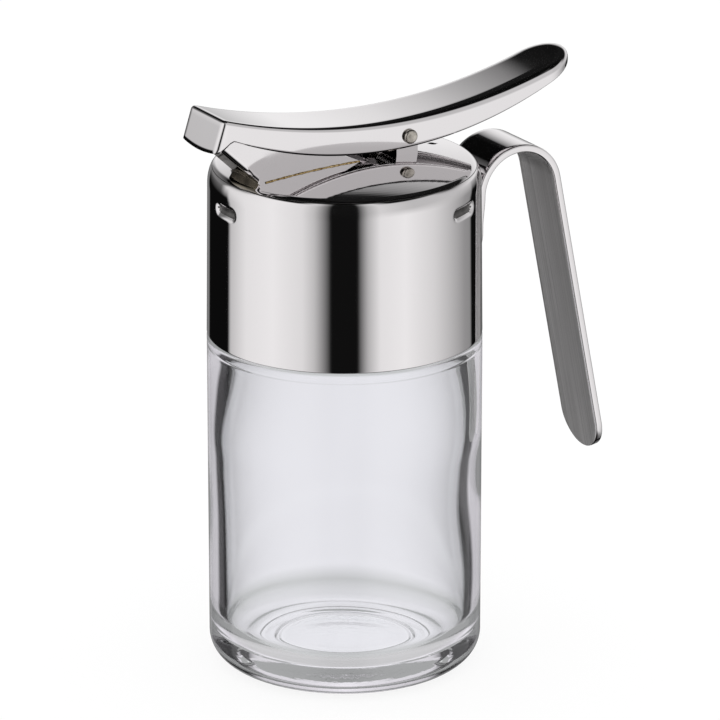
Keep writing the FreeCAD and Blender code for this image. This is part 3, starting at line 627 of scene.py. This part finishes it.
# The strip's middle line as (reach, height, direction it faces), from the root over the bend to the end.
route = [
    (bend_centre[0] - middle, ROOT_LOW + (BEND_START - ROOT_LOW) * i / 24, math.pi) for i in range(24)
]
for angle in [math.pi + (GRIP_TILT - math.pi) * i / 60 for i in range(61)]:
    level, rise = middle * math.cos(angle), middle * math.sin(angle)
    route.append((bend_centre[0] + level, bend_centre[1] + rise, angle))
grip_reach, grip_top = route[-1][:2]
drop = grip_top - (BEND_START - GRIP_LENGTH)
for share in [i / 60 for i in range(1, 61)]:
    route.append((grip_reach + drop * math.tan(GRIP_TILT) * share, grip_top - drop * share, GRIP_TILT))
lengths = [0.0]
for before, after in zip(route, route[1:]):
    lengths.append(lengths[-1] + math.hypot(after[0] - before[0], after[1] - before[1]))
total = lengths[-1]
coarse = [(*step, length) for step, length in zip(route, lengths)]
stations = []
for before, after in zip(coarse, coarse[1:]):
    parts = 8 if min(before[3], total - after[3]) < half else 1
    for share in [i / parts for i in range(parts)]:
        stations.append(tuple(b + (a - b) * share for b, a in zip(before, after)))
stations.append(coarse[-1])

# Half of the strip's section as (across, out), its brushed face first, then the same turned round.
section = [((half - edge) * (1 - i / 7), -depth) for i in range(15)]
FACE_POINTS = len(section)
for angle in (0.4, 0.8, 1.2, 1.57):
    section.append((-half + edge - edge * math.sin(angle), -depth + edge - edge * math.cos(angle)))
for angle in (0.0, 0.4, 0.8, 1.2):
    section.append((-half + edge - edge * math.cos(angle), depth - edge + edge * math.sin(angle)))
section += [(-across, -out) for across, out in section]


def end_width(along):
    """The share of the strip's width that its round ends leave."""
    nearest = min(along, total - along)
    return 1.0 if nearest >= half else math.sqrt(max(0.0, 1 - (1 - nearest / half) ** 2))


points = []
for x, z, angle, along in stations:
    share = max(end_width(along), 0.001)
    dish = ease((BEND_START - z) / ROOT_FADE) if along < 20 else 0.0
    for across, out in section:
        sideways = across * share
        bow = dish * sideways ** 2 / 2 / (ROOT_HUG if out > 0 else ROOT_CROWN)
        points.append((x + math.cos(angle) * out - bow, sideways, z + math.sin(angle) * out))
ring_size = len(section)
faces = grid_faces(len(stations), ring_size, closed_columns=True)
last = (len(stations) - 1) * ring_size
faces += [tuple(range(ring_size))[::-1], tuple(range(last, last + ring_size))]
handle = mesh_piece("handle_steel", points, faces, polished, "jar")
handle.data.materials.append(satin)
for face in handle.data.polygons:
    if len(face.vertices) == 4 and max(vertex % ring_size for vertex in face.vertices) < FACE_POINTS:
        face.material_index = 1
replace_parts(handle, "handle")

# ---- return spring ------------------------------------------------------------------------------
# A close-wound coil of round spring wire on the pin, between the ears, that holds the lever shut.
WIRE, TURNS, COIL_STEPS = 0.8, 10, 28
PIN_RADIUS, SPRING_PLAY = 1.1, 0.3
coil_reach = PIN_RADIUS + SPRING_PLAY + WIRE / 2

# Drawn spring wire: a darker steel than the sheet, its shine broken at each 0.8 mm by the die's marks.
wire, tree, shader = material("spring_wire", {"Base Color": linear("b9b7b6"), "Metallic": 1.0})
place = add(tree, "TexCoord").outputs["Object"]
marks = add(tree, "TexNoise", {"Vector": place, "Scale": 1 / (0.8333 * MM), "Detail": 2.0})
feed(tree, shader, {"Roughness": add(tree, "MapRange", {0: marks, 1: 0.3, 2: 0.7, 3: 0.12, 4: 0.3})})


def wire_piece(name, points, radius, finish, thicknesses=None):
    """A round wire or bead along points in millimetres, that rides on the jar."""
    curve = bpy.data.curves.new(name, "CURVE")
    curve.dimensions = "3D"
    curve.bevel_depth = radius * MM
    curve.bevel_resolution = 4 if thicknesses is None else 3
    spline = curve.splines.new("POLY")
    spline.points.add(len(points) - 1)
    for index, (point, place) in enumerate(zip(spline.points, points)):
        point.co = (*[c * MM for c in place], 1)
        if thicknesses is not None:
            point.radius = thicknesses[index]
    curve.materials.append(finish)
    piece = bpy.data.objects.new(name, curve)
    bpy.context.collection.objects.link(piece)
    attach(piece, "jar")
    return piece


helix = []
for index in range((TURNS - 1) * COIL_STEPS + 1):
    angle = 2 * math.pi * index / COIL_STEPS
    helix.append((
        HINGE[0] + coil_reach * math.cos(angle),
        (index / COIL_STEPS - (TURNS - 1) / 2) * WIRE,
        HINGE[1] + coil_reach * math.sin(angle),
    ))
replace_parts(wire_piece("spring_wire_coil", helix, WIRE * 0.49, wire), "return_spring")

# ---- chute --------------------------------------------------------------------------------------
# The chute is folded from steel sheet, a floor between two cheeks, and brazed to the dome. It keeps
# its CAD shape. The thin uneven bead of brass along each cheek is added here.
BEAD_FRONT, BEAD_RADIUS, BEAD_POINTS = -25.4, 1.0, 120
CHEEK_INSIDE = 6.35
chute_high = [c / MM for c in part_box("spout_chute")[1]]

# Polished steel outside, and inside the cheeks a painted shade: dark olive-brown, in clouds of about
# 6 mm, that stands in for the shade inside the chute.
painted_shade_steel, tree, shader = material("steel_with_painted_shade", {"Metallic": 1.0})
place = add(tree, "TexCoord").outputs["Object"]
side = add(tree, "SeparateXYZ", {0: place}).outputs[1]
side = add(tree, "Math", {0: side}, operation="ABSOLUTE")
# The painted shade covers only the faces between the cheeks.
within = add(tree, "Math", {0: side, 1: CHEEK_INSIDE * MM}, operation="LESS_THAN")
cloud = add(tree, "TexNoise", {"Vector": place, "Scale": 1 / (6.25 * MM), "Detail": 3.0})
painted_shade_colour = add(tree, "ValToRGB", {0: cloud}, [(0.35, linear("4a463c")), (0.65, linear("8a8373"))])
feed(tree, shader, {
    "Base Color": add(tree, "MixRGB", {0: within, 1: linear("e9e6e7"), 2: painted_shade_colour}),
    "Roughness": add(tree, "MapRange", {0: cloud, 1: 0.3, 2: 0.7, 3: 0.04, 4: 0.14}),
})

# Brazing brass: dull and uneven as it froze, mottled at about two thirds of a millimetre.
brass, tree, shader = material("brazing_brass", {"Metallic": 1.0})
place = add(tree, "TexCoord").outputs["Object"]
mottle = add(tree, "TexNoise", {"Vector": place, "Scale": 1 / (0.6667 * MM), "Detail": 3.0})
feed(tree, shader, {
    "Base Color": add(tree, "ValToRGB", {0: mottle}, [(0.35, linear("8a6a34")), (0.65, linear("e8cf9a"))]),
    "Roughness": add(tree, "MapRange", {0: mottle, 1: 0.3, 2: 0.7, 3: 0.12, 4: 0.4}),
    "Normal": add(tree, "Bump", {"Height": mottle, "Distance": 0.15 * MM}),
})

for name, side in (("braze_near", -1), ("braze_far", 1)):
    seam, thicknesses = [], []
    for index in range(BEAD_POINTS):
        x = BEAD_FRONT * (1 - index / (BEAD_POINTS - 1))
        y = side * (chute_high[1] + 0.08)
        seam.append((x, y, dome(math.hypot(x, y)) + 0.04))
        thicknesses.append(0.2 + 0.03 * math.sin(index * 0.31) + 0.02 * math.sin(index * 0.83 + 1))
    wire_piece(name, seam, BEAD_RADIUS, brass, thicknesses)
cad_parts["spout_chute"].data.materials.clear()
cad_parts["spout_chute"].data.materials.append(painted_shade_steel)

# ---- hinge --------------------------------------------------------------------------------------
# A folded saddle of polished sheet on the dome holds the pin in two ears, and the pin's ends are
# peened over to round heads outside the lever. Both keep their CAD shapes.

# Peened steel: matter and warmer than the sheet, with hammer marks of about 1.4 mm.
peened, tree, shader = material("peened_steel", {"Metallic": 1.0})
place = add(tree, "TexCoord").outputs["Object"]
marks = add(tree, "TexNoise", {"Vector": place, "Scale": 1 / (1.4286 * MM), "Detail": 3.0})
feed(tree, shader, {
    "Base Color": add(tree, "ValToRGB", {0: marks}, [(0.35, linear("8f8a83")), (0.65, linear("cfc9c0"))]),
    "Roughness": add(tree, "MapRange", {0: marks, 1: 0.3, 2: 0.7, 3: 0.16, 4: 0.34}),
    "Normal": add(tree, "Bump", {"Height": marks, "Distance": 0.06 * MM}),
})
for name, finish in (("hinge_bracket", polished), ("hinge_pin", peened)):
    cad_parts[name].data.materials.clear()
    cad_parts[name].data.materials.append(finish)
